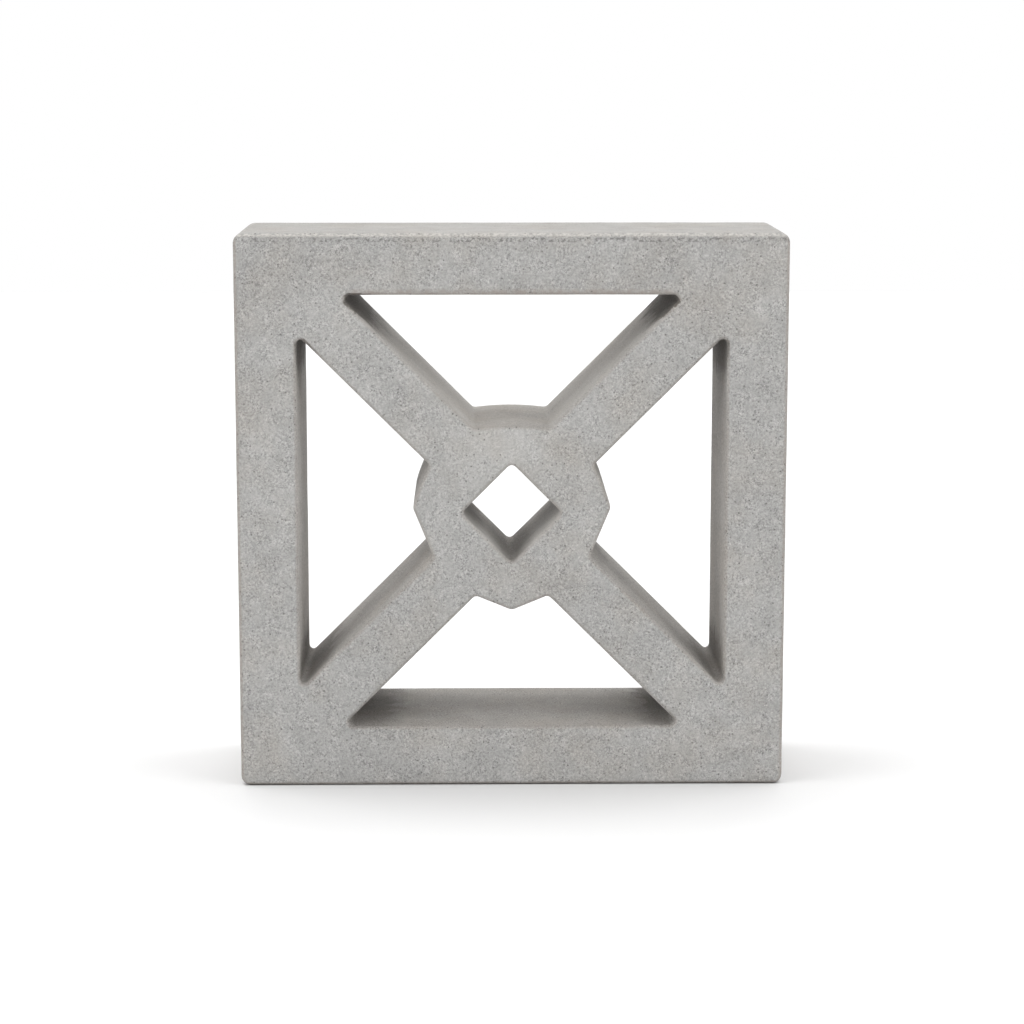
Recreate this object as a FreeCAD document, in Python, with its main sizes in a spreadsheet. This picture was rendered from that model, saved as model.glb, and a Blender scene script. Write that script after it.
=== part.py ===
import FreeCAD, Part
import math
import os

import Sketcher

# Decorative concrete screen block, cast in one piece: a frame, four slanting arms and a hub with a
# diamond hole. It stands on z = 0, its width runs along X, its height along Z and its front faces -Y.

NODE = "screen_block"

# Driving dimensions, in millimetres and degrees
DIMENSIONS = {
    "block_width": 292,
    "block_height": 297,
    "block_depth": 92,
    "frame_bar": 32.5,
    "arm_width": 30.5,
    # the upper arms' centre lines pass this far above the block's centre, the lower ones as far below
    "arm_offset": 2.6,
    # from the block's centre out to the hub's points at the left, the right and the bottom
    "hub_reach": 52.75,
    # the points at the left and the right lie this far above the block's centre
    "hub_lift": 2.8,
    # the edges beside a hub point fall away from it by this angle
    "hub_slope": 22.5,
    # the edge above a side point swells to a round shoulder
    "shoulder_radius": 90,
    # the top of the hub is a shallow crown instead of a point
    "crown_reach": 47,
    "crown_radius": 144,
    # from the block's centre to the diamond's corners on the front face
    "diamond_reach": 26.6,
    # the diamond's walls spread towards the back by this angle
    "diamond_draft": 1.35,
    "outer_corner_radius": 5,
    "cell_tip_radius": 2.2,
    "arm_root_radius": 2.5,
    "hub_point_radius": 4,
    "diamond_corner_radius": 2.75,
    # the mould rounds the front's edges, and the back's have a small bevel
    "front_arris_radius": 1.5,
    "back_arris_chamfer": 0.8,
}

# The arms slant halfway between the block's width and its height
ARM_SLOPE = 45

# How a sketch's constraints refer to its upright axis, to its origin and to the points of a curve
UPRIGHT_AXIS, ORIGIN = range(-2, 0)
START, END, CENTRE = range(1, 4)

# How far a measured edge may lie from the place it is looked for
TOLERANCE = 0.01

# The sheet of driving dimensions
document = FreeCAD.newDocument("ScreenBlock")
sheet = document.addObject("Spreadsheet::Sheet", "sizes")
for row, (alias, size) in enumerate(DIMENSIONS.items(), start=1):
    sheet.set(f"A{row}", alias)
    sheet.set(f"B{row}", str(size))
    sheet.setAlias(f"B{row}", alias)
document.recompute()

body = document.addObject("PartDesign::Body", "Block")
body.Label = NODE


def size_of(expression):
    """The present value of an expression in the sheet's dimensions."""
    return float(body.evalExpression(expression))


def origin_plane(role):
    return next(plane for plane in body.Origin.OriginFeatures if plane.Role == role)


# Sketches parallel to the front face


def face_sketch(name, turn=0):
    """A sketch at mid depth, centred on the block and turned about its centre."""
    sketch = body.newObject("Sketcher::SketchObject", name)
    sketch.AttachmentSupport = (origin_plane("XZ_Plane"), "")
    sketch.MapMode = "FlatFace"
    about_depth = FreeCAD.Rotation(FreeCAD.Vector(0, 0, 1), turn)
    sketch.AttachmentOffset = FreeCAD.Placement(FreeCAD.Vector(0, 0, 0), about_depth)
    sketch.setExpression("AttachmentOffset.Base.y", "sizes.block_height / 2")
    return sketch


def add_line(sketch, start, end):
    return sketch.addGeometry(Part.LineSegment(FreeCAD.Vector(*start, 0), FreeCAD.Vector(*end, 0)))


def join(sketch, curve, point, next_curve, next_point):
    sketch.addConstraint(Sketcher.Constraint("Coincident", curve, point, next_curve, next_point))


def mirror_points(sketch, curve, point, other_curve, other_point):
    """Keep two points of a sketch opposite each other across its upright axis."""
    sketch.addConstraint(
        Sketcher.Constraint("Symmetric", curve, point, other_curve, other_point, UPRIGHT_AXIS)
    )


def bind(sketch, name, kind, references, expression):
    """Add a dimension that follows the sheet."""
    present = size_of(expression)
    start_value = math.radians(present) if kind == "Angle" else present
    index = sketch.addConstraint(Sketcher.Constraint(kind, *references, start_value))
    sketch.renameConstraint(index, name)
    sketch.setExpression(f"Constraints.{name}", expression)


def draw_rectangle(sketch, width, height):
    """A rectangle centred on the sketch, its sides given as expressions."""
    half_width = size_of(width) / 2
    half_height = size_of(height) / 2
    bottom = add_line(sketch, (-half_width, -half_height), (half_width, -half_height))
    right = add_line(sketch, (half_width, -half_height), (half_width, half_height))
    top = add_line(sketch, (half_width, half_height), (-half_width, half_height))
    left = add_line(sketch, (-half_width, half_height), (-half_width, -half_height))
    for line, next_line in ((bottom, right), (right, top), (top, left), (left, bottom)):
        join(sketch, line, END, next_line, START)
    for line in (bottom, top):
        sketch.addConstraint(Sketcher.Constraint("Horizontal", line))
    for line in (right, left):
        sketch.addConstraint(Sketcher.Constraint("Vertical", line))
    sketch.addConstraint(Sketcher.Constraint("Symmetric", bottom, START, right, END, ORIGIN, START))
    bind(sketch, "width", "DistanceX", (bottom, START, bottom, END), width)
    bind(sketch, "height", "DistanceY", (right, START, right, END), height)


def draw_cell_sides(sketch, reach, arm_edge, left_root, right_root):
    """The three straight sides of a cell, which opens upward in its sketch: the frame's edge and two arms'.

    reach is the distance from the block's centre to the frame's edge and arm_edge the distance to
    each arm's edge. The roots are where the arms meet the hub.
    """
    tip = (size_of(reach) - size_of(arm_edge) * math.sqrt(2), size_of(reach))
    frame_edge = add_line(sketch, tip, (-tip[0], tip[1]))
    left_arm = add_line(sketch, (-tip[0], tip[1]), left_root)
    right_arm = add_line(sketch, right_root, tip)
    join(sketch, frame_edge, END, left_arm, START)
    join(sketch, right_arm, END, frame_edge, START)
    mirror_points(sketch, frame_edge, START, frame_edge, END)
    for arm, slope in ((left_arm, -ARM_SLOPE), (right_arm, ARM_SLOPE)):
        sketch.addConstraint(Sketcher.Constraint("Angle", arm, math.radians(slope)))
    bind(sketch, "reach", "DistanceY", (ORIGIN, START, frame_edge, START), reach)
    bind(sketch, "arm_edge", "Distance", (ORIGIN, START, right_arm), arm_edge)
    return left_arm, right_arm


def draw_pointed_cell(sketch, reach, arm_edge):
    """A cell whose inner end runs round a point of the hub."""
    hub_reach = size_of("sizes.hub_reach")
    fall = math.tan(math.radians(size_of("sizes.hub_slope")))
    arm_height = size_of(arm_edge) * math.sqrt(2)
    root_across = (hub_reach - arm_height) / (1 + fall)
    left_root = (-root_across, root_across + arm_height)
    right_root = (root_across, root_across + arm_height)
    left_arm, right_arm = draw_cell_sides(sketch, reach, arm_edge, left_root, right_root)
    left_edge = add_line(sketch, left_root, (0, hub_reach))
    right_edge = add_line(sketch, (0, hub_reach), right_root)
    join(sketch, left_arm, END, left_edge, START)
    join(sketch, left_edge, END, right_edge, START)
    join(sketch, right_edge, END, right_arm, START)
    sketch.addConstraint(Sketcher.Constraint("PointOnObject", left_edge, END, UPRIGHT_AXIS))
    bind(sketch, "hub_reach", "DistanceY", (ORIGIN, START, left_edge, END), "sizes.hub_reach")
    bind(sketch, "left_slope", "Angle", (left_edge,), "sizes.hub_slope")
    bind(sketch, "right_slope", "Angle", (right_edge,), "-sizes.hub_slope")


def swelling_arc(start, end, radius):
    """An arc that bulges to the left on the way from start to end; being anticlockwise, it begins at end."""
    half_angle = math.asin(math.dist(start, end) / 2 / radius)
    outward = math.atan2(end[1] - start[1], end[0] - start[0]) + math.pi / 2
    back = radius * math.cos(half_angle)
    centre = FreeCAD.Vector(
        (start[0] + end[0]) / 2 - back * math.cos(outward),
        (start[1] + end[1]) / 2 - back * math.sin(outward),
        0,
    )
    circle = Part.Circle(centre, FreeCAD.Vector(0, 0, 1), radius)
    return Part.ArcOfCircle(circle, outward - half_angle, outward + half_angle)


def draw_side_cell(sketch, reach, arm_edge):
    """A cell beside the hub, with the block's top on the sketch's left.

    Its inner end is straight below the hub's point and a round shoulder above it.
    """
    lift = size_of("sizes.hub_lift")
    fall = math.tan(math.radians(size_of("sizes.hub_slope")))
    arm_height = size_of(arm_edge) * math.sqrt(2)
    point = (-lift, size_of("sizes.hub_reach"))
    upper_across = (point[1] - arm_height + lift * fall) / (1 + fall)
    lower_across = (point[1] - arm_height - lift * fall) / (1 + fall)
    upper_root = (-upper_across, upper_across + arm_height)
    lower_root = (lower_across, lower_across + arm_height)
    upper_arm, lower_arm = draw_cell_sides(sketch, reach, arm_edge, upper_root, lower_root)
    chord = add_line(sketch, upper_root, point)
    sketch.setConstruction(chord, True)
    shoulder = sketch.addGeometry(swelling_arc(upper_root, point, size_of("sizes.shoulder_radius")))
    lower_edge = add_line(sketch, point, lower_root)
    join(sketch, upper_arm, END, chord, START)
    join(sketch, upper_arm, END, shoulder, END)
    join(sketch, chord, END, shoulder, START)
    join(sketch, chord, END, lower_edge, START)
    join(sketch, lower_edge, END, lower_arm, START)
    bind(sketch, "hub_reach", "DistanceY", (ORIGIN, START, lower_edge, START), "sizes.hub_reach")
    bind(sketch, "hub_lift", "DistanceX", (lower_edge, START, ORIGIN, START), "sizes.hub_lift")
    bind(sketch, "upper_slope", "Angle", (chord,), "sizes.hub_slope")
    bind(sketch, "lower_slope", "Angle", (lower_edge,), "-sizes.hub_slope")
    bind(sketch, "shoulder_radius", "Radius", (shoulder,), "sizes.shoulder_radius")


def draw_crowned_cell(sketch, reach, arm_edge):
    """A cell whose inner end is the hub's shallow crown."""
    radius = size_of("sizes.crown_radius")
    drop = size_of("sizes.crown_radius - sizes.crown_reach")
    arm_height = size_of(arm_edge) * math.sqrt(2)
    # the arm's edge, outward = across + arm_height, meets the circle about (0, -drop)
    centre_to_edge = drop + arm_height
    root_across = (math.sqrt(2 * radius**2 - centre_to_edge**2) - centre_to_edge) / 2
    left_root = (-root_across, root_across + arm_height)
    right_root = (root_across, root_across + arm_height)
    left_arm, right_arm = draw_cell_sides(sketch, reach, arm_edge, left_root, right_root)
    crown = sketch.addGeometry(swelling_arc(left_root, right_root, radius))
    join(sketch, crown, START, right_arm, START)
    join(sketch, crown, END, left_arm, END)
    sketch.addConstraint(Sketcher.Constraint("PointOnObject", crown, CENTRE, UPRIGHT_AXIS))
    bind(sketch, "crown_radius", "Radius", (crown,), "sizes.crown_radius")
    bind(
        sketch,
        "crown_drop",
        "DistanceY",
        (crown, CENTRE, ORIGIN, START),
        "sizes.crown_radius - sizes.crown_reach",
    )


# The plain block

outline = face_sketch("Outline")
draw_rectangle(outline, "sizes.block_width", "sizes.block_height")
plain_block = body.newObject("PartDesign::Pad", "PlainBlock")
plain_block.Profile = outline
plain_block.SideType = "Symmetric"
plain_block.setExpression("Length", "sizes.block_depth")
document.recompute()

# The four cells, cut right through

HALF_WIDTH_INSIDE = "sizes.block_width / 2 - sizes.frame_bar"
HALF_HEIGHT_INSIDE = "sizes.block_height / 2 - sizes.frame_bar"
UPRIGHT_CELL_ARM_EDGE = "sizes.arm_width / 2 + sizes.arm_offset"
SIDE_CELL_ARM_EDGE = "sizes.arm_width / 2 - sizes.arm_offset"


def cut_cell(name, turn, draw, reach, arm_edge):
    sketch = face_sketch(f"{name}Outline", turn)
    draw(sketch, reach, arm_edge)
    cell = body.newObject("PartDesign::Pocket", name)
    cell.Profile = sketch
    cell.Type = "ThroughAll"
    cell.SideType = "Symmetric"
    document.recompute()
    return cell


cut_cell("TopCell", 0, draw_crowned_cell, HALF_HEIGHT_INSIDE, UPRIGHT_CELL_ARM_EDGE)
cut_cell("BottomCell", 180, draw_pointed_cell, HALF_HEIGHT_INSIDE, UPRIGHT_CELL_ARM_EDGE)
right_cell = cut_cell("RightCell", 270, draw_side_cell, HALF_WIDTH_INSIDE, SIDE_CELL_ARM_EDGE)
left_cell = body.newObject("PartDesign::Mirrored", "LeftCell")
left_cell.Originals = [right_cell]
left_cell.MirrorPlane = (origin_plane("YZ_Plane"), [""])
body.Tip = left_cell
document.recompute()

# The diamond hole through the hub, a square standing on its corner

diamond_outline = face_sketch("DiamondOutline", 45)
diamond_outline.setExpression("AttachmentOffset.Base.z", "sizes.block_depth / 2")
draw_rectangle(diamond_outline, "sizes.diamond_reach * sqrt(2)", "sizes.diamond_reach * sqrt(2)")
diamond = body.newObject("PartDesign::Pocket", "Diamond")
diamond.Profile = diamond_outline
diamond.setExpression("Length", "sizes.block_depth")
diamond.setExpression("TaperAngle", "sizes.diamond_draft")
document.recompute()

# Rounded corners


def lies_at(measured, expected):
    return abs(measured - expected) < TOLERANCE


def runs_front_to_back(edge):
    ends = [vertex.Y for vertex in edge.Vertexes]
    half_depth = size_of("sizes.block_depth / 2")
    return lies_at(min(ends), -half_depth) and lies_at(max(ends), half_depth)


def front_end(edge):
    """Where an edge meets the front face, measured from the block's centre across and up."""
    vertex = min(edge.Vertexes, key=lambda corner: corner.Y)
    return vertex.X, vertex.Z - size_of("sizes.block_height / 2")


def is_outer_corner(across, up):
    return lies_at(abs(across), size_of("sizes.block_width / 2"))


def is_cell_tip(across, up):
    on_side_bar = lies_at(abs(across), size_of(HALF_WIDTH_INSIDE))
    on_level_bar = lies_at(abs(up), size_of(HALF_HEIGHT_INSIDE))
    return on_side_bar or on_level_bar


def is_diamond_corner(across, up):
    return lies_at(abs(across) + abs(up), size_of("sizes.diamond_reach"))


def is_hub_point(across, up):
    reach = size_of("sizes.hub_reach")
    at_side = lies_at(abs(across), reach) and lies_at(up, size_of("sizes.hub_lift"))
    at_bottom = lies_at(across, 0) and lies_at(up, -reach)
    return at_side or at_bottom


def is_arm_root(across, up):
    others = (is_outer_corner, is_cell_tip, is_diamond_corner, is_hub_point)
    return not any(test(across, up) for test in others)


def dress_edges(name, kind, size_property, size, edge_test):
    """Round or bevel the edges of the body's last feature that pass a test."""
    base = body.Tip
    names = [
        f"Edge{number}" for number, edge in enumerate(base.Shape.Edges, start=1) if edge_test(edge)
    ]
    dressing = body.newObject(f"PartDesign::{kind}", name)
    dressing.Base = (base, names)
    dressing.setExpression(size_property, size)
    document.recompute()


def round_edges(name, radius, edge_test):
    dress_edges(name, "Fillet", "Radius", radius, edge_test)


def bevel_edges(name, size, edge_test):
    dress_edges(name, "Chamfer", "Size", size, edge_test)


def round_corners(name, radius, place_test):
    round_edges(name, radius, lambda edge: runs_front_to_back(edge) and place_test(*front_end(edge)))


def lies_in_face(edge, depth):
    """Whether a whole edge lies this far behind the block's middle."""
    box = edge.BoundBox
    return lies_at(box.YMin, depth) and lies_at(box.YMax, depth)


def is_front_arris(edge):
    return lies_in_face(edge, -size_of("sizes.block_depth / 2"))


def is_back_arris(edge):
    return lies_in_face(edge, size_of("sizes.block_depth / 2"))


round_corners("ArmRoots", "sizes.arm_root_radius", is_arm_root)
round_corners("HubPoints", "sizes.hub_point_radius", is_hub_point)
round_corners("CellTips", "sizes.cell_tip_radius", is_cell_tip)
round_corners("DiamondCorners", "sizes.diamond_corner_radius", is_diamond_corner)
round_corners("OuterCorners", "sizes.outer_corner_radius", is_outer_corner)
round_edges("FrontArrises", "sizes.front_arris_radius", is_front_arris)
bevel_edges("BackArrises", "sizes.back_arris_chamfer", is_back_arris)

# Every feature has to have worked, and each cut to have taken something away
volume_before = math.inf
for feature in document.Objects:
    if "Invalid" in feature.State or "Error" in feature.State:
        raise RuntimeError(f"{feature.Name} failed: {feature.State}")
    if feature.TypeId in ("PartDesign::Pocket", "PartDesign::Mirrored"):
        if feature.Shape.Volume >= volume_before - TOLERANCE:
            raise RuntimeError(f"{feature.Name} cut nothing away")
    if feature.isDerivedFrom("PartDesign::Feature"):
        volume_before = feature.Shape.Volume
block = body.Shape
if block.isNull() or not block.isValid() or len(block.Solids) != 1:
    raise RuntimeError("the block is not one sound solid")

os.makedirs("parts", exist_ok=True)
block.exportStep(f"parts/{NODE}.step")
print(f"{NODE}: {block.Volume / 1e6:.3f} litres, box {block.optimalBoundingBox(False)}")
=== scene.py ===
import math

import bmesh
import bpy
import numpy as np
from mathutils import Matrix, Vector
from mathutils.bvhtree import BVHTree


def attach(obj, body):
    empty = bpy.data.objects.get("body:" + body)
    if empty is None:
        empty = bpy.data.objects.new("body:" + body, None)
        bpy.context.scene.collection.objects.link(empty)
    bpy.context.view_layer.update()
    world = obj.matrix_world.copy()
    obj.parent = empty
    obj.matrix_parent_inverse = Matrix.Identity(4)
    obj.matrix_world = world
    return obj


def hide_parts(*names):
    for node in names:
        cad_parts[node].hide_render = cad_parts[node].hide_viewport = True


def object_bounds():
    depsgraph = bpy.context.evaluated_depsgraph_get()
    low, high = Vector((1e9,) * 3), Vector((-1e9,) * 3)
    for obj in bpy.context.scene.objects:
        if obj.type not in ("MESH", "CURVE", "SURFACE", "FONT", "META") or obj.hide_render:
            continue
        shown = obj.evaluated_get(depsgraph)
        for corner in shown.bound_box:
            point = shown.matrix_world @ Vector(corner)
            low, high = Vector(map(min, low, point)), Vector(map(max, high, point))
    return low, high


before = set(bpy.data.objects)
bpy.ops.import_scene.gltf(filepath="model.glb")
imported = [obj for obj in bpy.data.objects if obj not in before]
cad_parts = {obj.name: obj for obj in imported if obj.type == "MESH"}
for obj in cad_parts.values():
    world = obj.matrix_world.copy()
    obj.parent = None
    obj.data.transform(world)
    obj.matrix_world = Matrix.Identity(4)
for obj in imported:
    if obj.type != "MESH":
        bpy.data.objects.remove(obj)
cad_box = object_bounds()
scene = bpy.context.scene

# Lengths are in metres, in the frame of the CAD model: the block stands on z = 0 and faces -Y

LOW, HIGH = (np.array(corner) for corner in cad_box)
FRONT = LOW[1]
TOP = HIGH[2]
FRAME_BAR = 0.0325

# Mesh of the block: a fine remesh takes the wear and relief, then flat areas are thinned out
WELD_DISTANCE = 1e-6
FINE_MESH = 0.001
TRIANGLE_BUDGET = 190_000

# Relief of the cast surface, by clouds of two sizes; where a weight is less than this, nothing wears away
WAVES = dict(size=0.022, height=0.0002)
ARRIS_WEAR = dict(size=0.0035, height=0.0007)
CLOUD_DETAIL = 2
LEAST_WEIGHT = 0.01

# The outer edges of the block are more worn than those of the cells, within this band
OUTER_BAND = 0.004
INNER_WEAR = 0.6

# The front edge of the top face is rubbed to a slope
SLOPE_BACK = 0.003
SLOPE_DOWN = 0.0016

# Heights and depths over which marks near the slope come in: the top face, the brown of the edges, the
# slope itself, and the crumbling line on it, lightened by a painted highlight, with the pits under it
TOP_HEIGHTS = (TOP - SLOPE_DOWN, TOP - SLOPE_DOWN / 2)
BROWN_HEIGHTS = (TOP - SLOPE_DOWN, TOP - SLOPE_DOWN * 3)
SLOPE_DEPTHS = (FRONT + SLOPE_BACK * 1.4, FRONT + SLOPE_BACK * 0.9)
LINE_HEIGHTS = (TOP - SLOPE_DOWN * 1.1, TOP - SLOPE_DOWN * 0.8)
PIT_HEIGHTS = (TOP - SLOPE_DOWN * 2.7, TOP - SLOPE_DOWN * 1.7)
PIT_FADE = 0.0006

# Recesses are found by rays that are stopped within this reach, most of all under a ceiling: the rays
# start just off the wall, spread round its normal and lean upward
RECESS_REACH = 0.026
RECESS_RAYS = 12
RECESS_START = 0.0004
RECESS_SPREAD = 0.98
RECESS_LIFT = 0.5
RECESS_CREEP = 3
RECESS_SEED = 7

# A wall's normal has less than this share along the depth
WALL_TURN = 0.9

# Shade is painted into the recesses. It thins out towards the front, less so in the upper tips, which are
# darkest
SHADE_RECESS = (0.12, 0.47)
SHADE_DEPTHS = (FRONT, FRONT + 0.06)
SHADE_AT_FRONT = (0.4, 0.95)
UPPER_TIPS = (0.2, 0.26)
TIP_SHADE_RECESS = (0.3, 0.5)
TIP_SHADE_STRENGTH = 0.5

# Shade is painted on the walls that face up below the hub, most of it half-way through the depth
SHADE_BELOW = 0.118
MID_SHADE_DEPTHS = (-0.005, 0.001)
MID_SHADE_FADE = 0.03

# Light is painted on the walls of the upper arms that face up, which are paler, except in the recesses
LIT_ARM_HEIGHTS = (0.19, 0.27)
LIT_ARM_RECESS = (0.05, 0.3)
LIT_ARM_STRENGTH = 0.25

# Light is painted on the lower walls of the diamond hole, found by their place in the hub: they are paler
# towards the front
HOLE_WIDTH = (-0.03, 0.03)
HOLE_HEIGHTS = (0.118, 0.152)
HOLE_LIT_DEPTHS = (0.01, FRONT + 0.015)
HOLE_LIT_STRENGTH = 0.4

# Shade is painted in the lower corner of the hole, within this radius
HOLE_CORNER = Vector((0, FRONT, 0.1235))
HOLE_SHADE_RADIUS = 0.016
HOLE_SHADE_STRENGTH = 0.65

# A brownish painted shade runs along the front over the top cell, from its edge up
CEILING_EDGE = TOP - FRAME_BAR
EDGE_SHADE_HEIGHT = 0.002
EDGE_SHADE_REACH = 0.082
EDGE_SHADE_END = 0.004
EDGE_SHADE_DEPTHS = (FRONT + 0.003, FRONT + 0.002)

# A paler patch round the upper part of the hub, right through the depth: a paler tone of the front face,
# and painted light on the walls round the upper part of the hub
PALE_PATCH = Vector((-0.009, FRONT, 0.186))
PALE_PATCH_RADIUS = 0.045
PALE_PATCH_STRENGTH = 0.3

# Colours of the concrete, as linear RGB
CEMENT_DARK = (0.250, 0.247, 0.239, 1)
CEMENT_LIGHT = (0.597, 0.590, 0.573, 1)
PORE = (0.13, 0.125, 0.118, 1)
SAND = (0.70, 0.685, 0.655, 1)
# Brown of the worn edges, also used for the painted shade over the top cell's edge
WORN_AND_SHADE = (0.36, 0.325, 0.295, 1)
# Crumbs along the top front edge, lightened as a painted highlight
CRUMBS_AND_HIGHLIGHT = (0.62, 0.60, 0.565, 1)
STAIN = (0.92, 0.86, 0.79, 1)
WALL_TINT = (1.0, 0.972, 0.948, 1)
# The darker tone of the painted shade in the corners
CORNER_SHADE = (0.49, 0.478, 0.466, 1)
# The tone of the painted shade half-way into the low cells
MID_DEPTH_SHADE = (0.84, 0.84, 0.845, 1)
TOP_TINT = (0.925, 0.937, 0.95, 1)

# The fine grain, with scales here and below in features to the metre
GRAIN = dict(scale=990, detail=1, roughness=1)
GRAIN_SPAN = (0.2, 0.8)
TOP_GRAIN = 0.4

# Patches, as a span of a noise and the strengths that it is stretched to
GRAIN_PATCHES = dict(scale=130, span=(0.35, 0.65), result=(0.55, 1.45))
MOTTLE = dict(scale=75, span=(0.3, 0.7), result=(0.42, 0.58))
SLOW_MOTTLE = dict(scale=16, span=(0.3, 0.7), result=(-0.06, 0.06))
STAINS = dict(scale=30, span=(0.45, 0.75), result=(0, 0.5), detail=4)
BROWN_PATCHES = dict(scale=420, span=(0.42, 0.58), result=(0.35, 0.8))
HIGHLIGHT_CRUMBS = dict(scale=520, span=(0.40, 0.58), result=(0.1, 0.9))
PITS = dict(scale=460, span=(0.50, 0.62), result=(0, 0.6))
EDGE_SHADE_PATCHES = dict(scale=300, span=(0.4, 0.6), result=(0.3, 0.9))

# Grains of sand and pores are dots in a share of the cells of a scattered pattern
SAND_GRAINS = dict(scale=520, radius=0.26, share=0.2)
PORES = dict(scale=420, radius=0.25, share=0.3)
PICK_EDGE = 0.02
PORE_STRENGTH = 0.65

# Fine relief and gloss of the concrete
RELIEF = dict(Strength=0.5, Distance=0.0006)
ROUGHNESS = 0.92
SPECULAR = 0.25

# Places of the colours among the sockets of a mix node, where names repeat
MIX_FIRST = 6
MIX_SECOND = 7
MIX_RESULT = 2

# Camera, aimed at the middle of the front face, with its lens and sensor in millimetres
CAMERA_PLACE = Vector((-0.02133, -1.49763, 0.39270))
CAMERA_AIM = Vector((0.00009, -0.046, 0.14930))
CAMERA_LENS = 97.419
CAMERA_SENSOR = 36

# Soft lamps for the block, and others for the floor: its shadow is short in front and wide at the sides
BLOCK_LAMPS = {
    "low_back_light": dict(strength=2.08, elevation=20, azimuth=180, spread=60),
    "high_back_light": dict(strength=1.52, elevation=75, azimuth=180, spread=40),
    "front_light": dict(strength=0.78, elevation=45, azimuth=0, spread=60),
    "right_light": dict(strength=1.71, elevation=15, azimuth=62, spread=70),
    "left_light": dict(strength=1.79, elevation=15, azimuth=-62, spread=70),
}
FLOOR_LAMPS = {
    "low_back_floor_light": dict(strength=1.03, elevation=20, azimuth=180, spread=60),
    "high_back_floor_light": dict(strength=1.08, elevation=75, azimuth=180, spread=40),
    "high_front_floor_light": dict(strength=0.63, elevation=70, azimuth=0, spread=50),
    "right_floor_light": dict(strength=1.27, elevation=50, azimuth=90, spread=60),
    "left_floor_light": dict(strength=1.52, elevation=50, azimuth=-90, spread=60),
}

# The floor, whose colour is whiter where it is seen than in the light that it throws back
FLOOR_SIZE = 6
FLOOR_SEEN = (0.895, 0.895, 0.895, 1)
FLOOR_BOUNCE = (0.72, 0.72, 0.73, 1)
WHITE = (1, 1, 1, 1)


# The block's mesh


def welded_copy(node):
    """A closed copy of a CAD node's mesh, with the vertices that its facets share joined."""
    mesh = bpy.data.meshes.new("block_surface")
    surface = bmesh.new()
    surface.from_mesh(node.data)
    bmesh.ops.remove_doubles(surface, verts=surface.verts, dist=WELD_DISTANCE)
    surface.to_mesh(mesh)
    surface.free()
    piece = bpy.data.objects.new("concrete_block", mesh)
    scene.collection.objects.link(piece)
    return piece


def apply_modifiers(piece):
    evaluated = piece.evaluated_get(bpy.context.evaluated_depsgraph_get())
    mesh = bpy.data.meshes.new_from_object(evaluated)
    piece.modifiers.clear()
    piece.data = mesh


def remesh(piece):
    voxels = piece.modifiers.new("voxels", "REMESH")
    voxels.mode = "VOXEL"
    voxels.voxel_size = FINE_MESH
    voxels.use_smooth_shade = True
    apply_modifiers(piece)


def vectors(items, name):
    """One row of three numbers for each item."""
    values = np.empty(len(items) * 3, dtype=np.float32)
    items.foreach_get(name, values)
    return values.reshape(-1, 3)


def vertex_places(mesh):
    return vectors(mesh.vertices, "co")


def vertex_normals(mesh):
    return vectors(mesh.vertex_normals, "vector")


def slope_top_edge(mesh):
    """Cut the front edge of the top face back to a slope."""
    places = vertex_places(mesh)
    length = math.hypot(SLOPE_BACK, SLOPE_DOWN)
    inward = SLOPE_DOWN / length
    downward = SLOPE_BACK / length
    depth = (places[:, 1] - FRONT) * inward + (TOP - places[:, 2]) * downward
    cut = np.maximum(SLOPE_DOWN * downward - depth, 0)
    places[:, 1] += cut * inward
    places[:, 2] -= cut * downward
    mesh.vertices.foreach_set("co", places.ravel())
    mesh.update()


def roughen(piece, name, size, height, weights=None):
    """Wear the surface inward by a cloud pattern, evenly or by a weight for each vertex."""
    clouds = bpy.data.textures.new(name, "CLOUDS")
    clouds.noise_scale = size
    clouds.noise_depth = CLOUD_DETAIL
    displace = piece.modifiers.new(name, "DISPLACE")
    displace.texture = clouds
    displace.texture_coords = "LOCAL"
    displace.strength = height
    displace.mid_level = 1.0
    if weights is not None:
        group = piece.vertex_groups.new(name=name)
        for index in np.flatnonzero(weights > LEAST_WEIGHT).tolist():
            group.add([index], float(weights[index]), "REPLACE")
        displace.vertex_group = name
    apply_modifiers(piece)


def thin_out(piece):
    triangles = sum(len(face.vertices) - 2 for face in piece.data.polygons)
    collapse = piece.modifiers.new("thin", "DECIMATE")
    collapse.ratio = TRIANGLE_BUDGET / triangles
    apply_modifiers(piece)


# Weights of the vertices, which say where the wear and the marks go


def within(values, span):
    """Whether each value lies inside a span."""
    return (values > span[0]) & (values < span[1])


def arris_weights(mesh):
    """1 along the middle of each outer rounded edge, less on the cells' edges, 0 on faces and walls."""
    places = vertex_places(mesh)
    towards_face = vertex_normals(mesh)[:, 1] ** 2
    weights = 4 * towards_face * (1 - towards_face)
    depth_in = np.minimum(places - LOW, HIGH - places)[:, (0, 2)].min(axis=1)
    weights[depth_in > OUTER_BAND] *= INNER_WEAR
    return weights


def wall_weights(mesh):
    """0 on the front and back faces, 1 on the walls across them."""
    return 1 - vertex_normals(mesh)[:, 1] ** 2


def creep(mesh, weights):
    """Let high weights creep over to the next vertices, so that the round bottom of a tip is covered."""
    ends = np.empty(len(mesh.edges) * 2, dtype=np.int32)
    mesh.edges.foreach_get("vertices", ends)
    first, second = ends.reshape(-1, 2).T
    for _ in range(RECESS_CREEP):
        before = weights.copy()
        np.maximum.at(weights, first, before[second])
        np.maximum.at(weights, second, before[first])
    return weights


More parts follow.
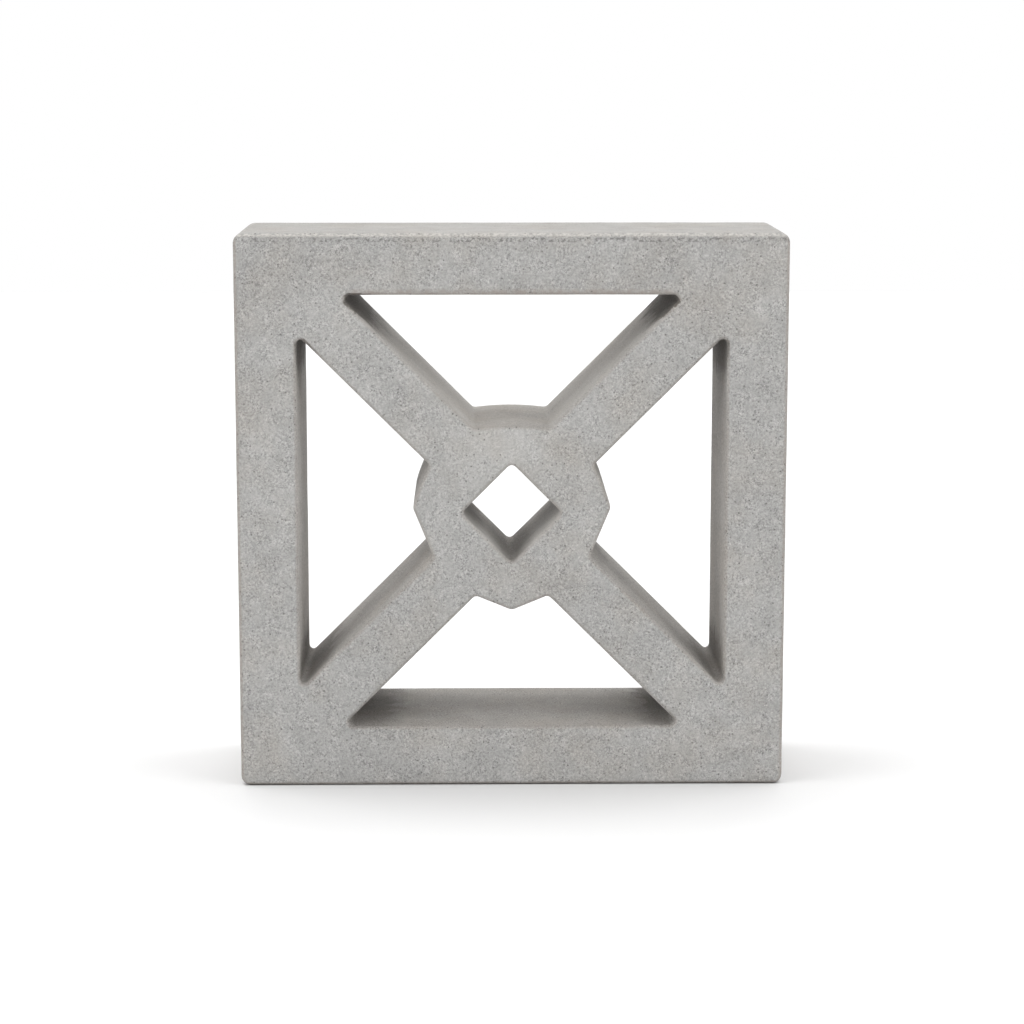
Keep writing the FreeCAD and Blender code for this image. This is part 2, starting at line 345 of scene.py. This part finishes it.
def recess_weights(mesh):
    """How closely each wall faces other parts of the block: 0 in the open, towards 1 in a tight corner."""
    places = vertex_places(mesh)
    normals = vertex_normals(mesh)
    surface = BVHTree.FromPolygons(places.tolist(), [tuple(face.vertices) for face in mesh.polygons])
    scatter = np.random.default_rng(RECESS_SEED).normal(size=(RECESS_RAYS, 3))
    scatter *= RECESS_SPREAD / np.linalg.norm(scatter, axis=1)[:, None]
    scatter[:, 2] += RECESS_LIFT
    weights = np.zeros(len(places))
    walls = np.abs(normals[:, 1]) < WALL_TURN
    for index in np.flatnonzero(walls).tolist():
        start = Vector(places[index] + normals[index] * RECESS_START)
        for ray in normals[index] + scatter:
            distance = surface.ray_cast(start, Vector(ray), RECESS_REACH)[3]
            if distance is not None:
                weights[index] += (1 - distance / RECESS_REACH) / RECESS_RAYS
    return creep(mesh, weights) * walls


def low_up_wall_weights(mesh):
    """How squarely each wall below the hub faces up."""
    facing_up = np.maximum(vertex_normals(mesh)[:, 2], 0)
    return facing_up * (vertex_places(mesh)[:, 2] < SHADE_BELOW)


def slanting_up(mesh):
    """1 on walls that face up at 45 degrees, less on flatter and steeper ones, 0 on the faces."""
    normals = vertex_normals(mesh)
    return 2 * np.abs(normals[:, 0]) * np.maximum(normals[:, 2], 0)


def upper_arm_weights(mesh):
    """1 on the upper arms' walls that face up, 0 elsewhere."""
    return slanting_up(mesh) * within(vertex_places(mesh)[:, 2], LIT_ARM_HEIGHTS)


def hole_weights(mesh):
    """1 on the lower walls of the diamond hole, 0 elsewhere."""
    places = vertex_places(mesh)
    in_hub = within(places[:, 0], HOLE_WIDTH) & within(places[:, 2], HOLE_HEIGHTS)
    return slanting_up(mesh) * in_hub


STORED_WEIGHTS = {
    "wear": arris_weights,
    "wall": wall_weights,
    "recess": recess_weights,
    "low_up_walls": low_up_wall_weights,
    "upper_arm_walls": upper_arm_weights,
    "hole": hole_weights,
}


def store_weights(mesh):
    """Keep the weights of the vertices, for the material to read."""
    for name, weigh in STORED_WEIGHTS.items():
        weights = weigh(mesh)
        attribute = mesh.attributes.new(name, "FLOAT", "POINT")
        attribute.data.foreach_set("value", weights.astype(np.float32))


def make_block(node):
    piece = welded_copy(node)
    remesh(piece)
    slope_top_edge(piece.data)
    roughen(piece, "arris_wear", weights=arris_weights(piece.data), **ARRIS_WEAR)
    roughen(piece, "waves", **WAVES)
    thin_out(piece)
    store_weights(piece.data)
    piece.data.shade_smooth()
    return piece


# Nodes of a material or of the sky


class NodeTree:
    """Short calls for building nodes."""

    def __init__(self, owner):
        owner.use_nodes = True
        self.nodes = owner.node_tree.nodes
        self.links = owner.node_tree.links

    def add(self, kind, inputs=None, **settings):
        node = self.nodes.new(kind)
        for name, value in settings.items():
            setattr(node, name, value)
        for name, value in (inputs or {}).items():
            self.feed(node.inputs[name], value)
        return node

    def feed(self, socket, value):
        if isinstance(value, bpy.types.NodeSocket):
            self.links.new(value, socket)
        else:
            socket.default_value = value

    def axes(self, place):
        return self.add("ShaderNodeSeparateXYZ", {"Vector": place}).outputs

    def stored(self, name):
        return self.add("ShaderNodeAttribute", attribute_name=name).outputs["Fac"]

    def noise(self, place, scale, detail=2.0, roughness=0.6):
        inputs = {"Vector": place, "Scale": scale, "Detail": detail, "Roughness": roughness}
        return self.add("ShaderNodeTexNoise", inputs).outputs["Fac"]

    def spread(self, value, span, result=(0, 1)):
        """Stretch a span of values to another, cut off at its ends."""
        inputs = {"Value": value, "From Min": span[0], "From Max": span[1]}
        inputs.update({"To Min": result[0], "To Max": result[1]})
        return self.add("ShaderNodeMapRange", inputs).outputs["Result"]

    def band(self, value, span, margin):
        """1 within a span of values, fading to 0 over a margin outside it."""
        rise = self.spread(value, (span[0] - margin, span[0]))
        fall = self.spread(value, (span[1] + margin, span[1]))
        return self.product(rise, fall)

    def patches(self, place, scale, span, result, detail=2.0):
        return self.spread(self.noise(place, scale, detail), span, result)

    def math(self, operation, first, second):
        node = self.add("ShaderNodeMath", operation=operation)
        self.feed(node.inputs[0], first)
        self.feed(node.inputs[1], second)
        return node.outputs["Value"]

    def product(self, first, second):
        return self.math("MULTIPLY", first, second)

    def blend(self, amount, first, second, mode="MIX"):
        node = self.add("ShaderNodeMix", data_type="RGBA", blend_type=mode)
        self.feed(node.inputs["Factor"], amount)
        self.feed(node.inputs[MIX_FIRST], first)
        self.feed(node.inputs[MIX_SECOND], second)
        return node.outputs[MIX_RESULT]

    def tint(self, amount, colour, by):
        return self.blend(amount, colour, by, "MULTIPLY")

    def distance(self, place, point):
        node = self.add("ShaderNodeVectorMath", operation="DISTANCE")
        self.feed(node.inputs[0], place)
        self.feed(node.inputs[1], point)
        return node.outputs["Value"]

    def dots(self, place, scale, radius, share):
        """Round spots, soft from half their radius on, in a share of the cells of a scattered pattern."""
        cells = self.add("ShaderNodeTexVoronoi", {"Vector": place, "Scale": scale})
        spot = self.spread(cells.outputs["Distance"], (radius, radius / 2))
        pick = self.spread(cells.outputs["Color"], (1 - share, 1 - share + PICK_EDGE))
        return self.product(spot, pick)

    def seen(self):
        """1 for what is looked at, in a mirror or through glass too, and 0 for the light that it throws."""
        rays = self.add("ShaderNodeLightPath").outputs
        looked_at = self.math("MAXIMUM", rays["Is Camera Ray"], rays["Is Glossy Ray"])
        return self.math("MAXIMUM", looked_at, rays["Is Transmission Ray"])


# Concrete


def cement(tree, place, axes, grain):
    """Cement and sand: fine grain, stronger in some patches and faint on the top face, on a slow mottle."""
    on_top = tree.spread(axes["Z"], TOP_HEIGHTS)
    contrast = tree.patches(place, **GRAIN_PATCHES)
    contrast = tree.product(contrast, tree.spread(on_top, (0, 1), (1, TOP_GRAIN)))
    tone = tree.product(tree.spread(grain, GRAIN_SPAN, (-0.5, 0.5)), contrast)
    tone = tree.math("ADD", tone, tree.patches(place, **MOTTLE))
    tone = tree.math("ADD", tone, tree.patches(place, **SLOW_MOTTLE))
    return tree.tint(on_top, tree.blend(tone, CEMENT_DARK, CEMENT_LIGHT), TOP_TINT)


def distance_across(tree, axes, point):
    """The distance from a line through a point of the front that runs straight back."""
    brought_forward = tree.add("ShaderNodeCombineXYZ", {"X": axes["X"], "Y": FRONT, "Z": axes["Z"]})
    return tree.distance(brought_forward.outputs["Vector"], point)


# A paler tone on the front, and painted light on the walls round the upper part of the hub
def pale_patch(tree, axes, colour):
    from_patch = distance_across(tree, axes, PALE_PATCH)
    paleness = tree.spread(from_patch, (PALE_PATCH_RADIUS, 0), (0, PALE_PATCH_STRENGTH))
    return tree.blend(paleness, colour, SAND)


# Painted shade in the lower corner of the diamond hole
def shaded_hole_corner(tree, axes, colour):
    from_corner = distance_across(tree, axes, HOLE_CORNER)
    painted_shade = tree.spread(from_corner, (HOLE_SHADE_RADIUS, HOLE_SHADE_RADIUS / 3), (0, HOLE_SHADE_STRENGTH))
    return tree.tint(tree.product(painted_shade, tree.stored("wall")), colour, CORNER_SHADE)


def worn_edges(tree, place, axes, colour):
    """Brownish outer edges, a crumbling line with a painted highlight, and pits under it along the front of
    the top face.
    """
    brown = tree.product(tree.patches(place, **BROWN_PATCHES), tree.spread(axes["Z"], BROWN_HEIGHTS))
    colour = tree.blend(tree.product(tree.stored("wear"), brown), colour, WORN_AND_SHADE)
    in_front = tree.spread(axes["Y"], SLOPE_DEPTHS)
    line = tree.product(tree.spread(axes["Z"], LINE_HEIGHTS), tree.patches(place, **HIGHLIGHT_CRUMBS))
    colour = tree.blend(tree.product(line, in_front), colour, CRUMBS_AND_HIGHLIGHT)
    pits = tree.product(tree.band(axes["Z"], PIT_HEIGHTS, PIT_FADE), tree.patches(place, **PITS))
    return tree.blend(tree.product(pits, in_front), colour, PORE)


def painted_ceiling_edge_shade(tree, place, axes, colour):
    """A brownish painted shade in a band over the front edge of the top cell."""
    over_edge = tree.band(axes["Z"], (CEILING_EDGE, CEILING_EDGE + EDGE_SHADE_HEIGHT), EDGE_SHADE_HEIGHT)
    over_cell = tree.band(axes["X"], (-EDGE_SHADE_REACH, EDGE_SHADE_REACH), EDGE_SHADE_END)
    in_front = tree.spread(axes["Y"], EDGE_SHADE_DEPTHS)
    edge_shade = tree.product(tree.product(over_edge, over_cell), in_front)
    edge_shade = tree.product(edge_shade, tree.patches(place, **EDGE_SHADE_PATCHES))
    return tree.blend(edge_shade, colour, WORN_AND_SHADE)


# Painted light on the upper arms' walls that face up
def painted_light_on_arms(tree, recess, colour):
    in_the_open = tree.spread(recess, LIT_ARM_RECESS, (LIT_ARM_STRENGTH, 0))
    return tree.blend(tree.product(tree.stored("upper_arm_walls"), in_the_open), colour, SAND)


# Painted light on the front half of the diamond hole's lower walls
def painted_light_in_hole(tree, axes, colour):
    front_half = tree.spread(axes["Y"], HOLE_LIT_DEPTHS, (0, HOLE_LIT_STRENGTH))
    return tree.blend(tree.product(tree.stored("hole"), front_half), colour, SAND)


# Painted shade half-way through the depth, on the low walls that face up
def painted_mid_depth_shade(tree, axes, colour):
    half_way = tree.band(axes["Y"], MID_SHADE_DEPTHS, MID_SHADE_FADE)
    return tree.tint(tree.product(half_way, tree.stored("low_up_walls")), colour, MID_DEPTH_SHADE)


def painted_corner_shade(tree, axes, recess, colour):
    """Painted shade in the corners of the cells, with a second coat in the upper tips."""
    at_front = tree.spread(axes["Z"], UPPER_TIPS, SHADE_AT_FRONT)
    behind_front = tree.spread(axes["Y"], SHADE_DEPTHS, (at_front, 1))
    painted_shade = tree.product(tree.spread(recess, SHADE_RECESS), behind_front)
    colour = tree.tint(painted_shade, colour, CORNER_SHADE)
    in_tips = tree.spread(axes["Z"], UPPER_TIPS, (0, TIP_SHADE_STRENGTH))
    tip_shade = tree.product(tree.spread(recess, TIP_SHADE_RECESS), in_tips)
    return tree.tint(tip_shade, colour, CORNER_SHADE)


def concrete():
    material = bpy.data.materials.new("concrete")
    tree = NodeTree(material)
    shader = tree.nodes["Principled BSDF"]
    place = tree.add("ShaderNodeTexCoord").outputs["Object"]
    axes = tree.axes(place)
    recess = tree.stored("recess")
    grain = tree.noise(place, **GRAIN)
    pores = tree.dots(place, **PORES)

    colour = cement(tree, place, axes, grain)
    colour = pale_patch(tree, axes, colour)
    colour = tree.blend(tree.dots(place, **SAND_GRAINS), colour, SAND)
    colour = tree.tint(tree.patches(place, **STAINS), colour, STAIN)
    colour = tree.tint(tree.stored("wall"), colour, WALL_TINT)
    colour = worn_edges(tree, place, axes, colour)
    colour = painted_ceiling_edge_shade(tree, place, axes, colour)
    colour = painted_light_on_arms(tree, recess, colour)
    colour = painted_light_in_hole(tree, axes, colour)
    colour = painted_mid_depth_shade(tree, axes, colour)
    colour = painted_corner_shade(tree, axes, recess, colour)
    colour = shaded_hole_corner(tree, axes, colour)
    colour = tree.blend(tree.product(pores, PORE_STRENGTH), colour, PORE)

    bump = tree.add("ShaderNodeBump", {"Height": tree.math("SUBTRACT", grain, pores), **RELIEF})
    tree.feed(shader.inputs["Base Color"], colour)
    tree.feed(shader.inputs["Normal"], bump.outputs["Normal"])
    shader.inputs["Roughness"].default_value = ROUGHNESS
    shader.inputs["Specular IOR Level"].default_value = SPECULAR
    return material


block = make_block(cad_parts["screen_block"])
block.data.materials.clear()
block.data.materials.append(concrete())
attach(block, "root")
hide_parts("screen_block")


# Floor, sky, lights and camera


def floor():
    bpy.ops.mesh.primitive_plane_add(size=FLOOR_SIZE)
    plane = bpy.context.object
    plane.name = "floor"
    material = bpy.data.materials.new("pale_floor")
    tree = NodeTree(material)
    shader = tree.nodes["Principled BSDF"]
    tree.feed(shader.inputs["Base Color"], tree.blend(tree.seen(), FLOOR_BOUNCE, FLOOR_SEEN))
    shader.inputs["Roughness"].default_value = 1
    shader.inputs["Specular IOR Level"].default_value = 0
    plane.data.materials.append(material)
    return plane


def sky():
    """White where it is seen, and dark otherwise: the lamps give all the light."""
    world = bpy.data.worlds.new("studio")
    scene.world = world
    tree = NodeTree(world)
    background = tree.nodes["Background"]
    background.inputs["Color"].default_value = WHITE
    tree.feed(background.inputs["Strength"], tree.seen())


def soft_light(name, receivers, strength, elevation, azimuth, spread):
    """A wide soft light from far off; azimuth 0 is in front, and it turns to the right."""
    light = bpy.data.lights.new(name, "SUN")
    light.energy = strength
    light.angle = math.radians(spread)
    lamp = bpy.data.objects.new(name, light)
    lamp.rotation_euler = (math.radians(90 - elevation), 0, math.radians(azimuth))
    lamp.light_linking.receiver_collection = receivers
    scene.collection.objects.link(lamp)


def light_up(piece, lamps):
    """Lamps whose light falls on one piece alone."""
    receivers = bpy.data.collections.new(f"lit_{piece.name}")
    receivers.objects.link(piece)
    for name, settings in lamps.items():
        soft_light(name, receivers, **settings)


def camera():
    lens = bpy.data.cameras.new("camera")
    lens.lens = CAMERA_LENS
    lens.sensor_width = CAMERA_SENSOR
    viewer = bpy.data.objects.new("camera", lens)
    viewer.location = CAMERA_PLACE
    viewer.rotation_euler = (CAMERA_AIM - CAMERA_PLACE).to_track_quat("-Z", "Y").to_euler()
    scene.collection.objects.link(viewer)
    scene.camera = viewer


sky()
light_up(block, BLOCK_LAMPS)
light_up(floor(), FLOOR_LAMPS)
camera()
scene.view_settings.view_transform = "Standard"
